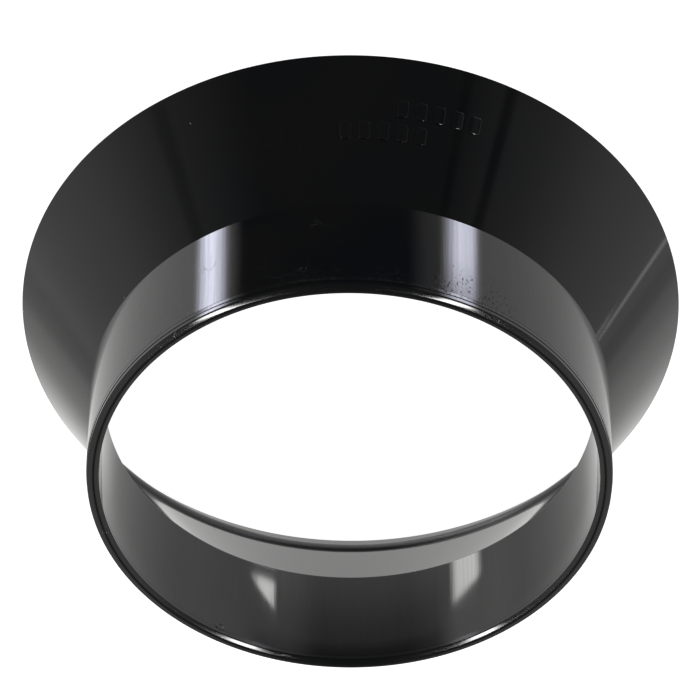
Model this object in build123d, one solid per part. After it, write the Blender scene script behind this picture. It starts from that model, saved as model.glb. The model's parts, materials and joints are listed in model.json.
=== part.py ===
from build123d import *
import os
from math import atan, cos, degrees, sin

# Soil-pipe collar: a short tube for a 110 mm pipe that opens into a conical skirt.
# It is one black moulding. Each node is one of its moulded features, and the nodes
# meet face to face with no overlap.
# Millimetres. +Z is up along the axis of the pipe. The origin is on that axis, in the
# plane that the skirt's wide rim stands on. Angles are measured about +Z from +X.

# ---- driving dimensions ----
PIPE_DIAMETER = 110.0
SLIDE_GAP = 0.5  # radial clearance between the pipe and the bore
TUBE_WALL = 2.87  # at the open end
TUBE_DRAFT = 0.28  # how much wider the outside of the tube is at its root
HEIGHT = 57.2
JUNCTION_HEIGHT = 30.7  # where the outer wall turns from tube to skirt
RIM_RADIUS = 75.95
SKIRT_WALL = 3.06  # measured square to the cone
RIM_ROUND = 0.25  # on the skirt's two bottom edges

BEAD_HEIGHT = 1.4  # the crowned end of the tube
BEAD_STEP = 0.12  # how far the bead stands in from the outside of the tube
BEAD_ROUND = 0.25
BEAD_CROWN = 0.3  # how far the middle of the end face stands above its edges

RIDGE_HEIGHT = 6.4  # of the ridge's middle above the standing plane
RIDGE_WIDTH = 4.6  # along the slope of the cone
RIDGE_PROUD = 0.9

VESTIGE_ANGLES = (58.0, 238.0)
VESTIGE_WIDTH = 2.2
VESTIGE_HEIGHT = 1.7
VESTIGE_PROUD = 0.24  # under half of the slide gap, so the pipe still passes

MARK_PROUD = 0.3
MARK_WIDTH = 2.5
MARK_LENGTH = 4.0  # down the slope
MARK_ROUND = 0.6
MARK_PITCH = 4.15  # round the cone, at the middle of a row
MARKS_IN_ROW = 5
LOW_ROW_HEIGHT = 10.7
LOW_ROW_START = 247.2
HIGH_ROW_HEIGHT = 15.65
HIGH_ROW_START = 257.0

TOLERANCE = 1e-6

# ---- worked out from them ----
BORE_RADIUS = PIPE_DIAMETER / 2 + SLIDE_GAP
TUBE_RADIUS = BORE_RADIUS + TUBE_WALL
JUNCTION_RADIUS = TUBE_RADIUS + TUBE_DRAFT
BEAD_BASE = HEIGHT - BEAD_HEIGHT
CONE_SPREAD = (RIM_RADIUS - JUNCTION_RADIUS) / JUNCTION_HEIGHT
CONE_ANGLE = atan(CONE_SPREAD)  # between the cone's wall and the axis
WALL_ACROSS = SKIRT_WALL / cos(CONE_ANGLE)  # the skirt's wall along a radius
INNER_RIM_RADIUS = RIM_RADIUS - WALL_ACROSS
MOUTH_HEIGHT = (INNER_RIM_RADIUS - BORE_RADIUS) / CONE_SPREAD  # where the bore begins


def ring(outline):
    """Turn a closed outline of (radius, height) points and arcs once round the axis."""
    return revolve(make_face(outline), Axis.Z)


def closed(points):
    return Polyline(*[(r, 0, z) for r, z in points], close=True)


def rings_between(body, low, high):
    """The circular edges of a body whose height lies between low and high."""
    circles = body.edges().filter_by(GeomType.CIRCLE)
    return circles.filter_by_position(Axis.Z, low - TOLERANCE, high + TOLERANCE)


def outer_cone_radius(z):
    return RIM_RADIUS - CONE_SPREAD * z


def inner_cone_radius(z):
    return INNER_RIM_RADIUS - CONE_SPREAD * z


def pipe_collar():
    """The tube's wall: a straight bore inside and a slight draft outside."""
    return ring(closed([
        (BORE_RADIUS, JUNCTION_HEIGHT),
        (JUNCTION_RADIUS, JUNCTION_HEIGHT),
        (TUBE_RADIUS, BEAD_BASE),
        (BORE_RADIUS, BEAD_BASE),
    ]))


def collar_end_bead():
    """The tube's end: a fine step outside, a crowned face and rounded edges."""
    inner = BORE_RADIUS
    outer = TUBE_RADIUS - BEAD_STEP
    edge = HEIGHT - BEAD_CROWN
    body = ring([
        Polyline((inner, 0, edge), (inner, 0, BEAD_BASE), (outer, 0, BEAD_BASE), (outer, 0, edge)),
        ThreePointArc((outer, 0, edge), ((inner + outer) / 2, 0, HEIGHT), (inner, 0, edge)),
    ])
    return fillet(rings_between(body, edge, HEIGHT), BEAD_ROUND)


def weathering_skirt():
    """The conical skirt, with the lowest stretch of the bore at its top."""
    body = ring(closed([
        (INNER_RIM_RADIUS, 0),
        (RIM_RADIUS, 0),
        (JUNCTION_RADIUS, JUNCTION_HEIGHT),
        (BORE_RADIUS, JUNCTION_HEIGHT),
        (BORE_RADIUS, MOUTH_HEIGHT),
    ]))
    return fillet(rings_between(body, 0, RIM_ROUND), RIM_ROUND)


def skirt_inner_ridge():
    """A low rounded rib round the inside of the skirt, a little above its rim."""
    half = RIDGE_WIDTH / 2 * cos(CONE_ANGLE)
    low = RIDGE_HEIGHT - half
    high = RIDGE_HEIGHT + half
    start = (inner_cone_radius(low), 0, low)
    end = (inner_cone_radius(high), 0, high)
    crest = (
        inner_cone_radius(RIDGE_HEIGHT) - RIDGE_PROUD * cos(CONE_ANGLE),
        0,
        RIDGE_HEIGHT - RIDGE_PROUD * sin(CONE_ANGLE),
    )
    return ring([ThreePointArc(start, crest, end), Line(end, start)])


def gate_vestiges():
    """The stubs left on the bore, just under the tube's end, where the two gates broke off."""
    bottom = BEAD_BASE - VESTIGE_HEIGHT
    layer = ring(closed([
        (BORE_RADIUS, bottom),
        (BORE_RADIUS, BEAD_BASE),
        (BORE_RADIUS - VESTIGE_PROUD, BEAD_BASE),
        (BORE_RADIUS - VESTIGE_PROUD, bottom + VESTIGE_PROUD),
    ]))
    cutter = Box(2 * VESTIGE_WIDTH, VESTIGE_WIDTH, 2 * VESTIGE_HEIGHT)
    stubs = []
    for angle in VESTIGE_ANGLES:
        place = Rot(0, 0, angle) * Pos(BORE_RADIUS, 0, BEAD_BASE - VESTIGE_HEIGHT / 2)
        stubs += (layer & place * cutter).solids()
    return Compound(children=stubs)


def mark_row(layer, height, start_angle):
    """A row of equal raised blocks on the cone, set out from start_angle at one pitch."""
    radius = outer_cone_radius(height)
    step = degrees(MARK_PITCH / radius)
    block = Box(2 * MARK_WIDTH, MARK_WIDTH, MARK_LENGTH)
    block = fillet(block.edges().filter_by(Axis.X), MARK_ROUND)
    marks = []
    for i in range(MARKS_IN_ROW):
        tilt = Rot(0, -degrees(CONE_ANGLE), 0)
        place = Rot(0, 0, start_angle + i * step) * Pos(radius, 0, height) * tilt
        marks += (layer & place * block).solids()
    return marks


def moulded_marks():
    """Two rows of plain raised blocks on the outside of the skirt."""
    proud_across = MARK_PROUD / cos(CONE_ANGLE)
    low = LOW_ROW_HEIGHT - MARK_LENGTH
    high = HIGH_ROW_HEIGHT + MARK_LENGTH
    layer = ring(closed([
        (outer_cone_radius(low), low),
        (outer_cone_radius(low) + proud_across, low),
        (outer_cone_radius(high) + proud_across, high),
        (outer_cone_radius(high), high),
    ]))
    marks = mark_row(layer, LOW_ROW_HEIGHT, LOW_ROW_START)
    marks += mark_row(layer, HIGH_ROW_HEIGHT, HIGH_ROW_START)
    return Compound(children=marks)


nodes = {
    "pipe_collar": pipe_collar(),
    "collar_end_bead": collar_end_bead(),
    "weathering_skirt": weathering_skirt(),
    "skirt_inner_ridge": skirt_inner_ridge(),
    "gate_vestiges": gate_vestiges(),
    "moulded_marks": moulded_marks(),
}

os.makedirs("parts", exist_ok=True)
for name, shape in nodes.items():
    shape.label = name
    export_step(shape, os.path.join("parts", name + ".step"))
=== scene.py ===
import json
import math
import bmesh
import bpy
from mathutils import Matrix, Vector
from mathutils.noise import turbulence

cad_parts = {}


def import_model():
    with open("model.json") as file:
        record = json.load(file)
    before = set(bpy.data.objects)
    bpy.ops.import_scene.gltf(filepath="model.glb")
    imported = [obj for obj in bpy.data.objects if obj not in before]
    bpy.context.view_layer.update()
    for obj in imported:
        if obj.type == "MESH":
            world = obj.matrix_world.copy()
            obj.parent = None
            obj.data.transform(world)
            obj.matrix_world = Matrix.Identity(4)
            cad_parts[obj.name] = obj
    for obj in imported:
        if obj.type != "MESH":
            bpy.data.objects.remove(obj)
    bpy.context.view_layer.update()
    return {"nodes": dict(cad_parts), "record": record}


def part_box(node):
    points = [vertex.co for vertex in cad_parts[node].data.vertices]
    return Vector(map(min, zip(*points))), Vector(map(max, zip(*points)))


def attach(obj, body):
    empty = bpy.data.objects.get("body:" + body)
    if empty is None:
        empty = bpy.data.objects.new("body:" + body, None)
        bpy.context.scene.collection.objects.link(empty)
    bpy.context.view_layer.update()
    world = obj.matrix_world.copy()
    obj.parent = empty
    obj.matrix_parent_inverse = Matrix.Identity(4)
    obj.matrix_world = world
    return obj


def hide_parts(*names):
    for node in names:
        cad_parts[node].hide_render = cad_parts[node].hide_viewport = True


# A one-piece moulded pipe collar in black PVC, on a white floor in a plain studio.
# Metres, in the frame of the CAD model: +Z up the axis of the pipe, wide rim on z = 0.

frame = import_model()
MM = 0.001

# ---- sizes, read from the frame ----
mounts = {m["name"]: m for m in frame["record"]["mounts"]}
BORE = mounts["pipe_bore"]["dims"]["r_mm"] * MM
tube_low, tube_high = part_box("pipe_collar")
bead_low, bead_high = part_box("collar_end_bead")
ridge_low, ridge_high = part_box("skirt_inner_ridge")
JUNCTION_Z = tube_low.z
JUNCTION_R = tube_high.x
BEAD_Z = bead_low.z
TOP_Z = bead_high.z
BEAD_R = bead_high.x

# ---- sizes of the finer shapes ----
BEAD_STEP = 0.12 * MM
TUBE_R = BEAD_R + BEAD_STEP
BEAD_CROWN = 0.3 * MM
BEAD_ROUND = 0.25 * MM
STEP_ROUND = 0.07 * MM
SKIRT_WALL = 3.06 * MM
RIM_R = 75.95 * MM
RIM_ROUND = 0.25 * MM
SPREAD = (RIM_R - JUNCTION_R) / JUNCTION_Z
CONE_ANGLE = math.atan(SPREAD)
INNER_RIM_R = RIM_R - SKIRT_WALL / math.cos(CONE_ANGLE)
MOUTH_Z = (INNER_RIM_R - BORE) / SPREAD
MOUTH_ROUND = 0.3 * MM
AROUND = 384  # points in each circle round the axis
ARC_STEPS = 6
SHOULDER = 0.03 * MM


# ---- mesh helpers ----

def rounded(corners):
    """A closed outline of (radius, height) points from corners (radius, height, rounding).

    Each arc has a shoulder point just past either end, so that a long flat wall beside
    it keeps its own normals.
    """
    outline = []
    for i, (r, z, rounding) in enumerate(corners):
        here = Vector((r, z))
        if rounding == 0:
            outline.append(here)
            continue
        before = (Vector(corners[i - 1][:2]) - here).normalized()
        after = (Vector(corners[(i + 1) % len(corners)][:2]) - here).normalized()
        half = before.angle(after) / 2
        reach = rounding / math.tan(half)
        centre = here + (before + after).normalized() * (rounding / math.sin(half))
        first = here + before * reach - centre
        last = here + after * reach - centre
        turn = first.angle_signed(last)
        outline.append(here + before * (reach + SHOULDER))
        for k in range(ARC_STEPS + 1):
            spoke = Matrix.Rotation(-turn * k / ARC_STEPS, 2) @ first
            outline.append(centre + spoke)
        outline.append(here + after * (reach + SHOULDER))
    return outline


def lathe(name, outline, smooth_below=30):
    """A closed ring: the outline turned once round the axis.

    Edges that bend by less than smooth_below degrees are shaded smooth.
    """
    mesh = bpy.data.meshes.new(name)
    verts = []
    for i in range(AROUND):
        angle = 2 * math.pi * i / AROUND
        c, s = math.cos(angle), math.sin(angle)
        verts += [(r * c, r * s, z) for r, z in outline]
    n = len(outline)
    faces = []
    for i in range(AROUND):
        j = (i + 1) % AROUND
        for k in range(n):
            m = (k + 1) % n
            faces.append((i * n + k, j * n + k, j * n + m, i * n + m))
    mesh.from_pydata(verts, [], faces)
    return finish_mesh(name, mesh, smooth_below)


def finish_mesh(name, mesh, smooth_below):
    bm = bmesh.new()
    bm.from_mesh(mesh)
    bmesh.ops.recalc_face_normals(bm, faces=bm.faces)
    bm.to_mesh(mesh)
    bm.free()
    mesh.shade_smooth()
    mesh.set_sharp_from_angle(angle=math.radians(smooth_below))
    piece = bpy.data.objects.new(name, mesh)
    bpy.context.scene.collection.objects.link(piece)
    return piece


def arc(start, end, rise, steps):
    """Points between start and end, both left out, on an arc that stands out by rise."""
    a, b = Vector(start), Vector(end)
    chord = (b - a).length
    radius = (chord * chord / 4 + rise * rise) / (2 * rise)
    along = (b - a).normalized()
    out = Vector((-along.y, along.x))
    centre = (a + b) / 2 + out * (rise - radius)
    half = math.asin(chord / 2 / radius)
    points = []
    for k in range(1, steps):
        t = -half + 2 * half * k / steps
        points.append(centre + radius * (math.sin(t) * along + math.cos(t) * out))
    return points


def swept(centre, radius, start, end, steps):
    """Points on an arc about centre, between two angles measured from +Z towards +radius."""
    points = []
    for k in range(steps + 1):
        angle = start + (end - start) * k / steps
        points.append((centre[0] + radius * math.sin(angle), centre[1] + radius * math.cos(angle)))
    return points


# ---- the rings ----
LINE_BELOW_BEAD = 1.1 * MM  # a witness line of the mould's insert, round the tube
LINE_DEPTH = 0.04 * MM


def tube():
    line_z = BEAD_Z - LINE_BELOW_BEAD
    share = (line_z - JUNCTION_Z) / (BEAD_Z - JUNCTION_Z)
    wall_r = JUNCTION_R + (TUBE_R - JUNCTION_R) * share
    return lathe("tube_wall", rounded([
        (BORE, JUNCTION_Z, 0),
        (JUNCTION_R, JUNCTION_Z, 0),
        (wall_r, line_z, 0),
        (wall_r - LINE_DEPTH, line_z + LINE_DEPTH, 0),
        (TUBE_R, BEAD_Z, STEP_ROUND),
        (BORE, BEAD_Z, STEP_ROUND),
    ]))


def end_bead():
    """The crowned end: a wide arc between two small ones that meet the walls."""
    inner, outer = BORE, BEAD_R
    middle = (inner + outer) / 2
    half = (outer - inner) / 2
    crown = (half * half + BEAD_CROWN * BEAD_CROWN) / (2 * BEAD_CROWN)
    crown_z = TOP_Z - crown
    shoulder = half - BEAD_ROUND
    lift = math.sqrt((crown - BEAD_ROUND) ** 2 - shoulder ** 2)
    meet = math.atan2(shoulder, lift)
    outline = [(inner, BEAD_Z), (outer, BEAD_Z), (outer, crown_z + lift - SHOULDER)]
    outline += swept((middle + shoulder, crown_z + lift), BEAD_ROUND, math.pi / 2, meet, ARC_STEPS)
    outline += swept((middle, crown_z), crown, meet, -meet, 2 * ARC_STEPS)[1:-1]
    outline += swept((middle - shoulder, crown_z + lift), BEAD_ROUND, -meet, -math.pi / 2, ARC_STEPS)
    outline.append((inner, crown_z + lift - SHOULDER))
    return lathe("end_bead", outline)


def skirt():
    return lathe("conical_skirt", rounded([
        (INNER_RIM_R, 0, RIM_ROUND),
        (RIM_R, 0, RIM_ROUND),
        (JUNCTION_R, JUNCTION_Z, 0),
        (BORE, JUNCTION_Z, 0),
        (BORE, MOUTH_Z, MOUTH_ROUND),
    ]))


RIDGE_PROUD = 0.9 * MM
RIDGE_STEPS = 20
RIDGE_SMOOTH = 60


def inner_ridge():
    """A low rounded rib round the inside of the skirt."""
    low, high = ridge_low.z, ridge_high.z
    start = (INNER_RIM_R - SPREAD * low, low)
    end = (INNER_RIM_R - SPREAD * high, high)
    crest = arc(start, end, RIDGE_PROUD, RIDGE_STEPS)
    return lathe("inner_ridge", [Vector(start)] + crest + [Vector(end)], RIDGE_SMOOTH)


# ---- the small raised pieces ----
CORNER_STEPS = 6
EDGE_STEPS = 5
LEAST_CORNER = 0.1  # the sharpest corner of a ring of a plate, over its edge's rounding
SMALL_SMOOTH = 40
MARK_WIDTH = 2.5 * MM
MARK_LENGTH = 4.0 * MM
MARK_ROUND = 0.6 * MM
MARK_PROUD = 0.3 * MM
MARK_EDGE = 0.2 * MM  # rounding of the marks' top edges
SUNK = 0.03 * MM  # how far a small piece reaches into the wall that it stands on


def islands(node):
    """The middle of each separate solid of a CAD node."""
    bm = bmesh.new()
    bm.from_mesh(frame["nodes"][node].data)
    bmesh.ops.remove_doubles(bm, verts=bm.verts, dist=1e-7)
    left = set(bm.verts)
    middles = []
    while left:
        found = [left.pop()]
        for vert in found:
            near = {edge.other_vert(vert) for edge in vert.link_edges} & left
            left -= near
            found += near
        low = Vector([min(v.co[i] for v in found) for i in range(3)])
        high = Vector([max(v.co[i] for v in found) for i in range(3)])
        middles.append((low + high) / 2)
    bm.free()
    return sorted(middles, key=lambda middle: (round(middle.z, 4), math.atan2(middle.y, middle.x)))


def rounded_rectangle(width, length, rounding):
    """Points round a rectangle with rounded corners, as (across, along)."""
    points = []
    for quarter, (sx, sy) in enumerate(((1, 1), (-1, 1), (-1, -1), (1, -1))):
        cx, cy = sx * (width / 2 - rounding), sy * (length / 2 - rounding)
        for k in range(CORNER_STEPS + 1):
            angle = math.pi / 2 * (quarter + k / CORNER_STEPS)
            points.append((cx + rounding * math.cos(angle), cy + rounding * math.sin(angle)))
    return points


def add_plate(bm, width, length, rounding, edge, profile, place):
    """A low plate: a ring of points for each (inset, height) of its profile, then the ends.

    place(across, along, height) gives a point in space.
    """
    rings = []
    for inset, height in profile:
        corner = max(rounding - inset, LEAST_CORNER * edge)
        ring = rounded_rectangle(width - 2 * inset, length - 2 * inset, corner)
        rings.append([bm.verts.new(place(u, v, height)) for u, v in ring])
    for lower, upper in zip(rings, rings[1:]):
        n = len(lower)
        for k in range(n):
            m = (k + 1) % n
            bm.faces.new((lower[k], lower[m], upper[m], upper[k]))
    bm.faces.new(rings[-1])
    bm.faces.new(reversed(rings[0]))


def edge_profile(edge, top):
    """(inset, height) pairs up the side of a plate and round its top edge."""
    pairs = [(0, -SUNK), (0, top - edge)]
    for k in range(1, EDGE_STEPS + 1):
        angle = math.pi / 2 * k / EDGE_STEPS
        pairs.append((edge * (1 - math.cos(angle)), top - edge + edge * math.sin(angle)))
    return pairs


def marks():
    """The plain raised blocks on the skirt, where the CAD node has them."""
    bm = bmesh.new()
    cosine, sine = math.cos(CONE_ANGLE), math.sin(CONE_ANGLE)
    profile = edge_profile(MARK_EDGE, MARK_PROUD)
    for middle in islands("moulded_marks"):
        azimuth = math.atan2(middle.y, middle.x)

        def place(across, along, height):
            foot_z = middle.z - MARK_PROUD / 2 * sine - along * cosine
            foot_r = RIM_R - SPREAD * foot_z
            r = foot_r + height * cosine
            angle = azimuth + across / foot_r
            return (r * math.cos(angle), r * math.sin(angle), foot_z + height * sine)

        add_plate(bm, MARK_WIDTH, MARK_LENGTH, MARK_ROUND, MARK_EDGE, profile, place)
    return small_piece("skirt_marks", bm)


VESTIGE_WIDTH = 2.2 * MM
VESTIGE_HEIGHT = 1.7 * MM
VESTIGE_PROUD = 0.22 * MM
VESTIGE_ROUND = 0.5 * MM
VESTIGE_EDGE = 0.1 * MM
VESTIGE_RINGS = (0.3, 0.55, 0.8)  # across the broken face, from its edge to its middle
VESTIGE_DISH = 0.25  # how much lower the broken face is in the middle
TORN_SIZE = 0.35 * MM
TORN_OCTAVES = 3
TORN_DEPTH = 0.35  # share of the height


def vestiges():
    """The broken stubs of the two gates, on the bore under the tube's end."""
    bm = bmesh.new()
    profile = edge_profile(VESTIGE_EDGE, VESTIGE_PROUD)
    for share in VESTIGE_RINGS:
        inset = VESTIGE_EDGE + share * (VESTIGE_HEIGHT / 2 - VESTIGE_EDGE)
        profile.append((inset, VESTIGE_PROUD * (1 - VESTIGE_DISH * share)))
    for middle in islands("gate_vestiges"):
        azimuth = math.atan2(middle.y, middle.x)

        def place(across, along, height):
            spot = Vector((across, along, azimuth * MM)) / TORN_SIZE
            torn = 1 + TORN_DEPTH * (turbulence(spot, TORN_OCTAVES, False) - 1)
            r = BORE - (min(height * torn, VESTIGE_PROUD) if height > 0 else height)
            angle = azimuth + across / BORE
            return (r * math.cos(angle), r * math.sin(angle), middle.z + along)

        add_plate(bm, VESTIGE_WIDTH, VESTIGE_HEIGHT, VESTIGE_ROUND, VESTIGE_EDGE, profile, place)
    return small_piece("gate_stubs", bm)


def small_piece(name, bm):
    mesh = bpy.data.meshes.new(name)
    bm.to_mesh(mesh)
    bm.free()
    return finish_mesh(name, mesh, SMALL_SMOOTH)


pieces = {
    "moulded_marks": marks(),
    "gate_vestiges": vestiges(),
    "pipe_collar": tube(),
    "collar_end_bead": end_bead(),
    "weathering_skirt": skirt(),
    "skirt_inner_ridge": inner_ridge(),
}


# ---- node helpers ----

class Field:
    """A number that varies over a surface or over the sky, as an output of a node tree."""

    def __init__(self, tree, socket):
        self.tree = tree
        self.socket = socket

    def math(self, operation, *others):
        node = self.tree.nodes.new("ShaderNodeMath")
        node.operation = operation
        for i, value in enumerate((self, *others)):
            plug(self.tree, value, node.inputs[i])
        return Field(self.tree, node.outputs[0])

    def __add__(self, other):
        return self.math("ADD", other)

    def __sub__(self, other):
        return self.math("SUBTRACT", other)

    def __mul__(self, other):
        return self.math("MULTIPLY", other)

    def size(self):
        return self.math("ABSOLUTE")

    def smooth(self, low, high, start=0.0, end=1.0):
        """From start to end as this field goes from low to high, with an eased slope."""
        node = self.tree.nodes.new("ShaderNodeMapRange")
        node.interpolation_type = "SMOOTHSTEP"
        plug(self.tree, self, node.inputs["Value"])
        plug(self.tree, low, node.inputs["From Min"])
        plug(self.tree, high, node.inputs["From Max"])
        plug(self.tree, start, node.inputs["To Min"])
        plug(self.tree, end, node.inputs["To Max"])
        return Field(self.tree, node.outputs["Result"])

    def band(self, start, full, fall, end):
        """1 from full to fall, and 0 before start and past end, with eased slopes."""
        return self.smooth(start, full) * self.smooth(fall, end, 1.0, 0.0)

    def mix(self, low, high):
        """low where this field is 0 and high where it is 1."""
        node = self.tree.nodes.new("ShaderNodeMix")
        plug(self.tree, self, node.inputs["Factor"])
        plug(self.tree, low, node.inputs["A"])
        plug(self.tree, high, node.inputs["B"])
        return Field(self.tree, node.outputs["Result"])


def plug(tree, value, socket):
    if isinstance(value, Field):
        tree.links.new(value.socket, socket)
    else:
        socket.default_value = value


def mix_colours(tree, factor, first, second):
    """A colour that goes from first to second, each a colour or a colour's socket."""
    node = tree.nodes.new("ShaderNodeMix")
    node.data_type = "RGBA"
    plug(tree, factor, node.inputs["Factor"])
    for name, colour in (("A", first), ("B", second)):
        if isinstance(colour, tuple):
            node.inputs[name].default_value = colour
        else:
            tree.links.new(colour, node.inputs[name])
    return node.outputs["Result"]


def vector(tree, x, y, z):
    node = tree.nodes.new("ShaderNodeCombineXYZ")
    for i, value in enumerate((x, y, z)):
        plug(tree, value, node.inputs[i])
    return node.outputs[0]


def noise(tree, where, scale, detail=2.0):
    """A soft noise about 0.5, with features of about 1 / scale."""
    node = tree.nodes.new("ShaderNodeTexNoise")
    node.inputs["Scale"].default_value = scale
    node.inputs["Detail"].default_value = detail
    tree.links.new(where, node.inputs["Vector"])
    return Field(tree, node.outputs["Fac"])


def coordinates(tree, kind):
    """x, y and z: Object is metres on a piece, and Generated a direction in the sky."""
    source = tree.nodes.new("ShaderNodeTexCoord")
    split = tree.nodes.new("ShaderNodeSeparateXYZ")
    tree.links.new(source.outputs[kind], split.inputs[0])
    return [Field(tree, split.outputs[i]) for i in range(3)]


# ---- the plastic ----
# Black PVC as it comes from the mould: high gloss, a faint long waviness, hairline
# scratches and specks of dust. The tube is also scored along its length, where it was
# drawn off the core and slid over pipes, and scuffed round its end. The bore, from a
# polished core, is smoother than the outside.
# A scale is in features per metre, and a depth in metres.
BLACK_COOL = (0.0013, 0.0019, 0.0032, 1)
BLACK_WARM = (0.0026, 0.0028, 0.0031, 1)
PVC_IOR = 1.54
FULL_GLOSS = 0.5  # the Specular IOR Level that leaves the IOR as it is
CLOUD_SCALE = 45
WAVE_SCALE = 120
WAVE_DEPTH = 2.5e-6
PEEL_SCALE = 1600
PEEL_DEPTH = 1.6e-7
BORE_FINISH = 0.5  # roughness of the bore over that of the outside
BORE_SCRATCHES = 0.25

SCRATCH_SCALE = 95
SCRATCH_WIDTH = 0.006  # in the noise's own units
SCRATCH_PATCHES = 40
SCRATCH_DEPTH = 1.5e-6
SCRATCH_ROUGHNESS = 0.2

DUST_COLOUR = (0.32, 0.33, 0.33, 1)
DUST_CELLS = 130
DUST_RADIUS = 0.17 * MM
LEAST_DUST = 0.35  # the smallest speck over the largest
DUST_SHARE = 0.25  # of the cells that hold a speck
DUST_ROUGHNESS = 0.4

SCORE_LINES = 150  # per radian round the axis
SCORE_ALONG = 60  # per metre along it
SCORE_DEPTH = 2.2e-6
SCORE_ROUGHNESS = 0.05
STREAK_LOSS = 0.08  # share of the gloss lost in the deepest score lines

SCUFF_START, SCUFF_END = 45 * MM, 53 * MM
SCUFF_PATCHES, SCUFF_PATCHES_ALONG = 3.2, 30
SCUFF_SCALE = 1400
SCUFF_DEPTH = 6e-6
SCUFF_ROUGHNESS = 0.12

RUBBED_SIDE = math.radians(243)  # the side of the tube that was rubbed most
RUBBED_FACING = (0.97, 0.997)  # cosine of the angle from that side, at the edge and inside
RUBBED_START, RUBBED_END = 41 * MM, 51 * MM
PIT_SCALE = 2300
PIT_ALONG = 0.4  # the scale along the tube over that round it
PIT_LOSS = 0.75  # share of the gloss lost in a pit


def radius_of(x, y):
    return (x * x + y * y).math("SQRT")


def around_axis(tree, x, y, z, lines, along):
    """A vector that changes fast round the axis and slowly along it, with no seam."""
    radius = radius_of(x, y)
    return vector(tree, x.math("DIVIDE", radius) * lines, y.math("DIVIDE", radius) * lines, z * along)


def hairlines(tree, place):
    """Sparse thin curved scratches: the level lines of a noise, kept only in patches."""
    level = (noise(tree, place, SCRATCH_SCALE, 3.0) - 0.5).size()
    patch = noise(tree, place, SCRATCH_PATCHES).smooth(0.54, 0.62)
    return level.smooth(0.0, SCRATCH_WIDTH, 1.0, 0.0) * patch


def specks(tree, place):
    """Dust: a small dot in some of the cells."""
    cells = tree.nodes.new("ShaderNodeTexVoronoi")
    cells.inputs["Scale"].default_value = DUST_CELLS
    tree.links.new(place, cells.inputs["Vector"])
    split = tree.nodes.new("ShaderNodeSeparateColor")
    tree.links.new(cells.outputs["Color"], split.inputs[0])
    dot = Field(tree, cells.outputs["Distance"])
    size = Field(tree, split.outputs[0]).smooth(0.0, 1.0, LEAST_DUST, 1.0) * (DUST_RADIUS * DUST_CELLS)
    held = Field(tree, split.outputs[1]).math("GREATER_THAN", 1 - DUST_SHARE)
    return dot.math("LESS_THAN", size) * held


def outside(x, y):
    """1 on the outside of the tube and 0 in its bore."""
    return radius_of(x, y).math("GREATER_THAN", BORE + 1 * MM)


def rubbed(tree, x, y, z):
    """Small long pits near the tube's end, on the side that was rubbed most."""
    facing = (x * math.cos(RUBBED_SIDE) + y * math.sin(RUBBED_SIDE)).math("DIVIDE", radius_of(x, y))
    pits = noise(tree, vector(tree, x, y, z * PIT_ALONG), PIT_SCALE).smooth(0.58, 0.68)
    return pits * facing.smooth(*RUBBED_FACING) * z.smooth(RUBBED_START, RUBBED_END) * outside(x, y)


def pvc(name, roughness, scoring=0.0, scuffs=0.0, scratches=1.0):
    """The plastic. scoring, scuffs and scratches say how much of each it has, from 0 to 1."""
    material = bpy.data.materials.new(name)
    material.use_nodes = True
    tree = material.node_tree
    shader = tree.nodes["Principled BSDF"]
    shader.inputs["IOR"].default_value = PVC_IOR
    x, y, z = coordinates(tree, "Object")
    place = vector(tree, x, y, z)
    cloud = noise(tree, place, CLOUD_SCALE, 3.0)
    wave = noise(tree, place, WAVE_SCALE, 1.0)
    peel = noise(tree, place, PEEL_SCALE)
    hair = hairlines(tree, place) * scratches
    if scoring:
        hair = hair * outside(x, y).mix(BORE_SCRATCHES, 1.0)
    dust = specks(tree, place)
    height = wave * WAVE_DEPTH + peel * PEEL_DEPTH - hair * SCRATCH_DEPTH
    rough = cloud.smooth(0.3, 0.7, 0.8 * roughness, 1.3 * roughness)
    rough = rough + hair * SCRATCH_ROUGHNESS + dust * DUST_ROUGHNESS
    if scoring:
        score = noise(tree, around_axis(tree, x, y, z, SCORE_LINES, SCORE_ALONG), 1.0, 3.0)
        height = height + score * (SCORE_DEPTH * scoring)
        rough = rough + score.smooth(0.55, 0.75) * SCORE_ROUGHNESS * scoring
        rough = rough * outside(x, y).mix(BORE_FINISH, 1.0)
        gloss = score.smooth(0.4, 0.66, FULL_GLOSS, FULL_GLOSS * (1 - STREAK_LOSS * scoring))
        if scuffs:
            gloss = gloss * rubbed(tree, x, y, z).smooth(0.0, 1.0, 1.0, 1 - PIT_LOSS * scuffs)
        tree.links.new(gloss.socket, shader.inputs["Specular IOR Level"])
    if scuffs:
        around = around_axis(tree, x, y, z, SCUFF_PATCHES, SCUFF_PATCHES_ALONG)
        patch = noise(tree, around, 1.0).smooth(0.42, 0.56)
        patch = z.smooth(SCUFF_START, SCUFF_END) * outside(x, y) * patch
        rub = noise(tree, place, SCUFF_SCALE, 3.0)
        height = height + rub * patch * (SCUFF_DEPTH * scuffs)
        rough = rough + patch * rub.smooth(0.45, 0.65) * SCUFF_ROUGHNESS * scuffs
    black = mix_colours(tree, cloud.smooth(0.35, 0.65), BLACK_COOL, BLACK_WARM)
    tree.links.new(mix_colours(tree, dust, black, DUST_COLOUR), shader.inputs["Base Color"])
    tree.links.new(rough.socket, shader.inputs["Roughness"])
    bump = tree.nodes.new("ShaderNodeBump")
    bump.inputs["Distance"].default_value = 1.0
    tree.links.new(height.socket, bump.inputs["Height"])
    tree.links.new(bump.outputs[0], shader.inputs["Normal"])
    return material


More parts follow.
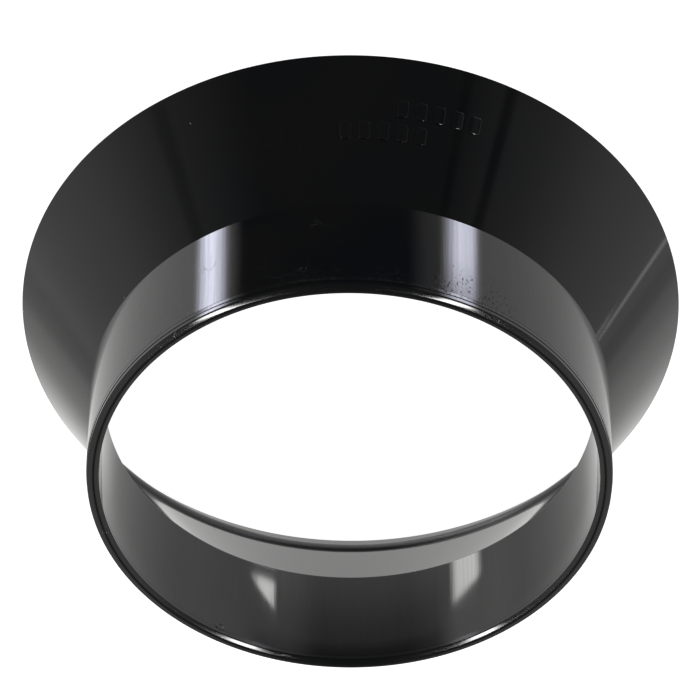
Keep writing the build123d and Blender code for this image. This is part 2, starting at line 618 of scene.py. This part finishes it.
materials = {
    "pipe_collar": pvc("tube_pvc", 0.065, scoring=1.0, scuffs=1.0),
    "collar_end_bead": pvc("bead_pvc", 0.07, scuffs=0.1),
    "weathering_skirt": pvc("skirt_pvc", 0.06),
    "skirt_inner_ridge": pvc("ridge_pvc", 0.32, scratches=0.0),
    "moulded_marks": pvc("marks_pvc", 0.1, scratches=0.0),
    "gate_vestiges": pvc("gate_pvc", 0.22, scratches=0.0),
}
for node, piece in pieces.items():
    piece.data.materials.append(materials[node])
    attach(piece, "root")
    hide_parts(node)


# ---- floor ----
FLOOR_SIZE = 12
FLOOR_COLOUR = (0.9, 0.9, 0.9, 1)
FLOOR_ROUGHNESS = 0.9
FLOOR_GLOW = 0.97


def floor():
    """A matt white floor, which the gloss doesn't reflect: the card below stands in for it."""
    bpy.ops.mesh.primitive_plane_add(size=FLOOR_SIZE)
    plane = bpy.context.object
    plane.name = "studio_floor"
    material = bpy.data.materials.new("pale_floor")
    material.use_nodes = True
    shader = material.node_tree.nodes["Principled BSDF"]
    shader.inputs["Base Color"].default_value = FLOOR_COLOUR
    shader.inputs["Roughness"].default_value = FLOOR_ROUGHNESS
    shader.inputs["Specular IOR Level"].default_value = 0
    shader.inputs["Emission Color"].default_value = (1, 1, 1, 1)
    shader.inputs["Emission Strength"].default_value = FLOOR_GLOW
    plane.data.materials.append(material)
    plane.visible_glossy = False


floor()

# ---- camera ----
# It looks down on the tube's end from the front (-Y) and is upside down, so the right
# of the picture is -X.
LENS = 226.29
SENSOR_WIDTH = 36
VIEW_FROM_AXIS = math.radians(41.473)
ROLL = math.radians(0.363)
AIM = Vector((0.07 * MM, 0, 12.29 * MM))
DISTANCE = 1008.0 * MM


def camera():
    sine, cosine = math.sin(VIEW_FROM_AXIS), math.cos(VIEW_FROM_AXIS)
    forward = Vector((0, sine, -cosine))
    up = Vector((0, -cosine, -sine))
    right = Vector((-1, 0, 0))
    c, s = math.cos(ROLL), math.sin(ROLL)
    right, up = c * right + s * up, c * up - s * right
    data = bpy.data.cameras.new("camera")
    data.lens = LENS
    data.sensor_width = SENSOR_WIDTH
    data.clip_start = 0.05
    data.clip_end = 50
    cam = bpy.data.objects.new("camera", data)
    turn = Matrix((right, up, -forward)).transposed()
    cam.matrix_world = Matrix.Translation(AIM - forward * DISTANCE) @ turn.to_4x4()
    bpy.context.scene.collection.objects.link(cam)
    bpy.context.scene.camera = cam


camera()

# ---- light ----
SKY_FILL = 0.4  # what lights the floor
BACKDROP = 1.0  # what the camera sees past the floor
LIGHT_COLOUR = (1.0, 0.995, 0.985, 1)
STRIP_COLOUR = (0.93, 0.95, 1.12, 1)

# What the gloss reflects: a white studio, open and dark towards the front (-Y), with
# strip lights at each side of the dark part. A bearing is in degrees from the front and
# positive towards +X, the left of the picture. Below the horizon the studio is a card,
# where reach is the distance from the axis in millimetres: the bore reflects its inner
# zone, the tube its outer zone and the skirt what lies beyond.
# smooth(low, high, start, end) is a soft step in brightness, between two bearings, two
# reaches or two places in metres. A light's four edges are those of Field.band.
CARD_DEPTH = 0.3
CARD_SIZE = 2.6
MIDDLE = (-0.15, 0.15)  # x at the right and at the left of the change between the sides
BACK = (-0.05, 0.0)  # y where the dark front ends
ZONE_EDGE = (308, 326)  # reach between the inner and the outer zone
CARD_EDGE = (430, 620)  # reach where the walls' brightness takes over
DARK = 0.04
WHITE_RIGHT = 0.74
WHITE_LEFT = 0.9

# The bore swaps the sides: its right strip light shows on the left of the picture.
INNER_POWER = 6.5
INNER_RIGHT = (-53, -45, -40, -36.5)
INNER_RIGHT_NEAR = (274.5, 277.5)
INNER_RIGHT_FAR = (320.2, 321.4)  # at bearing 0
INNER_RIGHT_SLANT = 0.84  # reach per degree along its far edge
INNER_RIGHT_GAIN = 1.25
INNER_LEFT = (51.8, 57.3, 66, 72)
INNER_LEFT_FAR = (312.5, 317.0)
INNER_LEFT_SLANT = -0.43

OUTER_POWER = 9.6
OUTER_RIGHT = (-55, -48, -46, -36)
OUTER_LEFT = (50, 58, 60, 67.5)
OUTER_LEFT_GAIN = 1.1
OUTER_REACH = (318, 332, 385, 410)

SLATS = 0.9  # dark lines per degree across the strip lights
INNER_SLATS, OUTER_SLATS = 0.12, 0.38  # how much of a strip's light they take

# Posts in the walls: bearing, half width and how much darker. The last is a bright slit.
POSTS = (
    (-46.9, 2.2, 0.11),
    (-33.7, 2.0, 0.04),
    (58.0, 3.0, 0.08),
    (-117.5, 4.0, 0.11),
    (124.0, 6.0, 0.12),
    (-110.1, 0.7, -0.8),
)

# Two long lights in the ceiling, fanned out from the direction that the middle of the
# tube's end face reflects.
FLAT_Y = math.sin(VIEW_FROM_AXIS)
OVERHEAD_POWER = 34.0
OVERHEAD_RIGHT, OVERHEAD_LEFT = -25.5, 33.3
OVERHEAD_WIDTH = (2.0, 5.0)
OVERHEAD_LENGTH = (0.13, 0.2, 0.5, 0.75)
LEAST_AHEAD = 0.12
CEILING_START = (0.2, 0.5)  # z of a direction between the walls and the ceiling


def bearing_of(x, y):
    """Degrees round from the front, -180 to 180."""
    return x.math("ARCTAN2", y * -1.0) * math.degrees(1)


def side_level(bearing):
    """The studio's walls: dark in front, whiter round the sides, with posts."""
    away = bearing.size()
    left = bearing.smooth(-10, 10)
    level = away.smooth(28, 56, 0.085, 0.225)
    level += away.smooth(50, 92) * left.mix(0.3, 0.38)
    level += away.smooth(124, 132) * left.mix(0.08, 0.0)
    level -= away.smooth(145, 172, 0.0, 0.4)
    for post, half_width, depth in POSTS:
        level -= (bearing - post).size().smooth(0.3 * half_width, 1.3 * half_width, depth, 0.0)
    return level


def slanted(bearing, reach, edges, far, slant):
    """A strip light that ends along a slanting line."""
    return bearing.band(*edges) * (reach - bearing * slant).smooth(*far, 1.0, 0.0)


def inner_zone(bearing, reach, white):
    """What the bore reflects at the front: its brightness and its strip lights."""
    centre = reach.smooth(262, 300, 0.72, 0.33) - reach.smooth(298, 305, 0.0, 0.2)
    centre += bearing.smooth(-34, -12, 0.33, 0.0) + bearing.smooth(28, 46, 0.0, 0.15)
    level = bearing.size().smooth(42, 58).mix(centre, white)
    right = slanted(bearing, reach, INNER_RIGHT, INNER_RIGHT_FAR, INNER_RIGHT_SLANT)
    right *= reach.smooth(*INNER_RIGHT_NEAR)
    left = slanted(bearing, reach, INNER_LEFT, INNER_LEFT_FAR, INNER_LEFT_SLANT)
    return level, (right * INNER_RIGHT_GAIN + left) * INNER_POWER


def inner_sides(away, reach, left):
    """What the bore makes of the white round it: dimmer at the sides, brighter right behind."""
    dimmer = away.smooth(76, 98) * left.mix(0.12, 0.22)
    brighter = away.smooth(146, 168) * left.mix(0.34, 0.2)
    return (brighter - dimmer) * reach.smooth(235, 265) + 1.0


def outer_zone(bearing, reach, white):
    """What the outside of the tube reflects: its brightness and its strip lights."""
    level = bearing.smooth(-33, -22, 0.24, 0.0) + bearing.smooth(-42, -34, 0.46, 0.0)
    level = level + bearing.smooth(44, 54) * (white - DARK) + DARK
    level = bearing.size().smooth(120, 126).mix(level, white)
    right = bearing.band(*OUTER_RIGHT) * reach.smooth(359, 373, 1.0, 0.45)
    left = bearing.band(*OUTER_LEFT) * OUTER_LEFT_GAIN
    return level, (right + left) * reach.band(*OUTER_REACH) * OUTER_POWER


def glow_material(name):
    material = bpy.data.materials.new(name)
    material.use_nodes = True
    material.cycles.emission_sampling = "NONE"
    tree = material.node_tree
    tree.nodes.clear()
    out = tree.nodes.new("ShaderNodeOutputMaterial")
    glow = tree.nodes.new("ShaderNodeEmission")
    tree.links.new(glow.outputs[0], out.inputs[0])
    return material, tree, glow


def low_card():
    """The card below the floor, which only the gloss sees."""
    material, tree, glow = glow_material("studio_below")
    x, y, _ = coordinates(tree, "Object")
    bearing = bearing_of(x, y)
    reach = radius_of(x, y) * (1 / MM)
    left = x.smooth(*MIDDLE)
    white = left.mix(WHITE_RIGHT, WHITE_LEFT)
    inner, inner_strips = inner_zone(bearing, reach, white)
    outer, outer_strips = outer_zone(bearing, reach, white)
    behind = y.smooth(*BACK)
    is_outer = reach.smooth(*ZONE_EDGE)
    inner = behind.mix(inner, white) * inner_sides(bearing.size(), reach, left)
    level = reach.smooth(*CARD_EDGE).mix(is_outer.mix(inner, outer), side_level(bearing))
    strips = is_outer.mix(behind.mix(inner_strips, 0.0), outer_strips)
    slats = noise(tree, vector(tree, bearing, 0.0, 0.0), SLATS).smooth(0.4, 0.6, -1.0, 0.0)
    strips *= slats * is_outer.mix(INNER_SLATS, OUTER_SLATS) + 1.0
    tree.links.new((level + strips).socket, glow.inputs["Strength"])
    colour = mix_colours(tree, strips.smooth(0.0, 2.0) * is_outer, LIGHT_COLOUR, STRIP_COLOUR)
    tree.links.new(colour, glow.inputs["Color"])

    bpy.ops.mesh.primitive_plane_add(size=CARD_SIZE, location=(0, 0, -CARD_DEPTH))
    card = bpy.context.object
    card.name = "card_below"
    card.visible_camera = False
    card.visible_diffuse = False
    card.visible_shadow = False
    card.visible_transmission = False
    card.visible_volume_scatter = False
    card.data.materials.append(material)


low_card()


def above_level(x, y):
    """The ceiling: dark over the camera, whiter at the sides, with the two long lights."""
    from_flat = y * -1.0 + FLAT_Y
    ahead = from_flat.math("MAXIMUM", LEAST_AHEAD)
    level = x.size().math("DIVIDE", ahead).smooth(0.0, 1.7, 0.11, 0.68)
    fan = x.math("ARCTAN2", from_flat) * math.degrees(1)
    right = (fan - OVERHEAD_RIGHT).size().smooth(*OVERHEAD_WIDTH, 1.0, 0.0)
    left = (fan - OVERHEAD_LEFT).size().smooth(*OVERHEAD_WIDTH, 1.0, 0.0)
    length = radius_of(x, from_flat).band(*OVERHEAD_LENGTH)
    return level + (right + left) * length * OVERHEAD_POWER


def world():
    """A sky that is plain to the camera and to matt surfaces, and the studio to gloss."""
    sky = bpy.data.worlds.new("studio")
    bpy.context.scene.world = sky
    sky.use_nodes = True
    tree = sky.node_tree
    tree.nodes.clear()
    out = tree.nodes.new("ShaderNodeOutputWorld")
    back = tree.nodes.new("ShaderNodeBackground")
    back.inputs["Color"].default_value = LIGHT_COLOUR
    path = tree.nodes.new("ShaderNodeLightPath")
    to_camera = Field(tree, path.outputs["Is Camera Ray"])
    to_gloss = Field(tree, path.outputs["Is Glossy Ray"])
    x, y, z = coordinates(tree, "Generated")
    studio = z.smooth(*CEILING_START).mix(side_level(bearing_of(x, y)), above_level(x, y))
    level = to_gloss.mix(SKY_FILL, studio)
    level = to_camera.mix(level, BACKDROP)
    tree.links.new(level.socket, back.inputs["Strength"])
    tree.links.new(back.outputs[0], out.inputs[0])


world()
bpy.context.scene.view_settings.view_transform = "Standard"
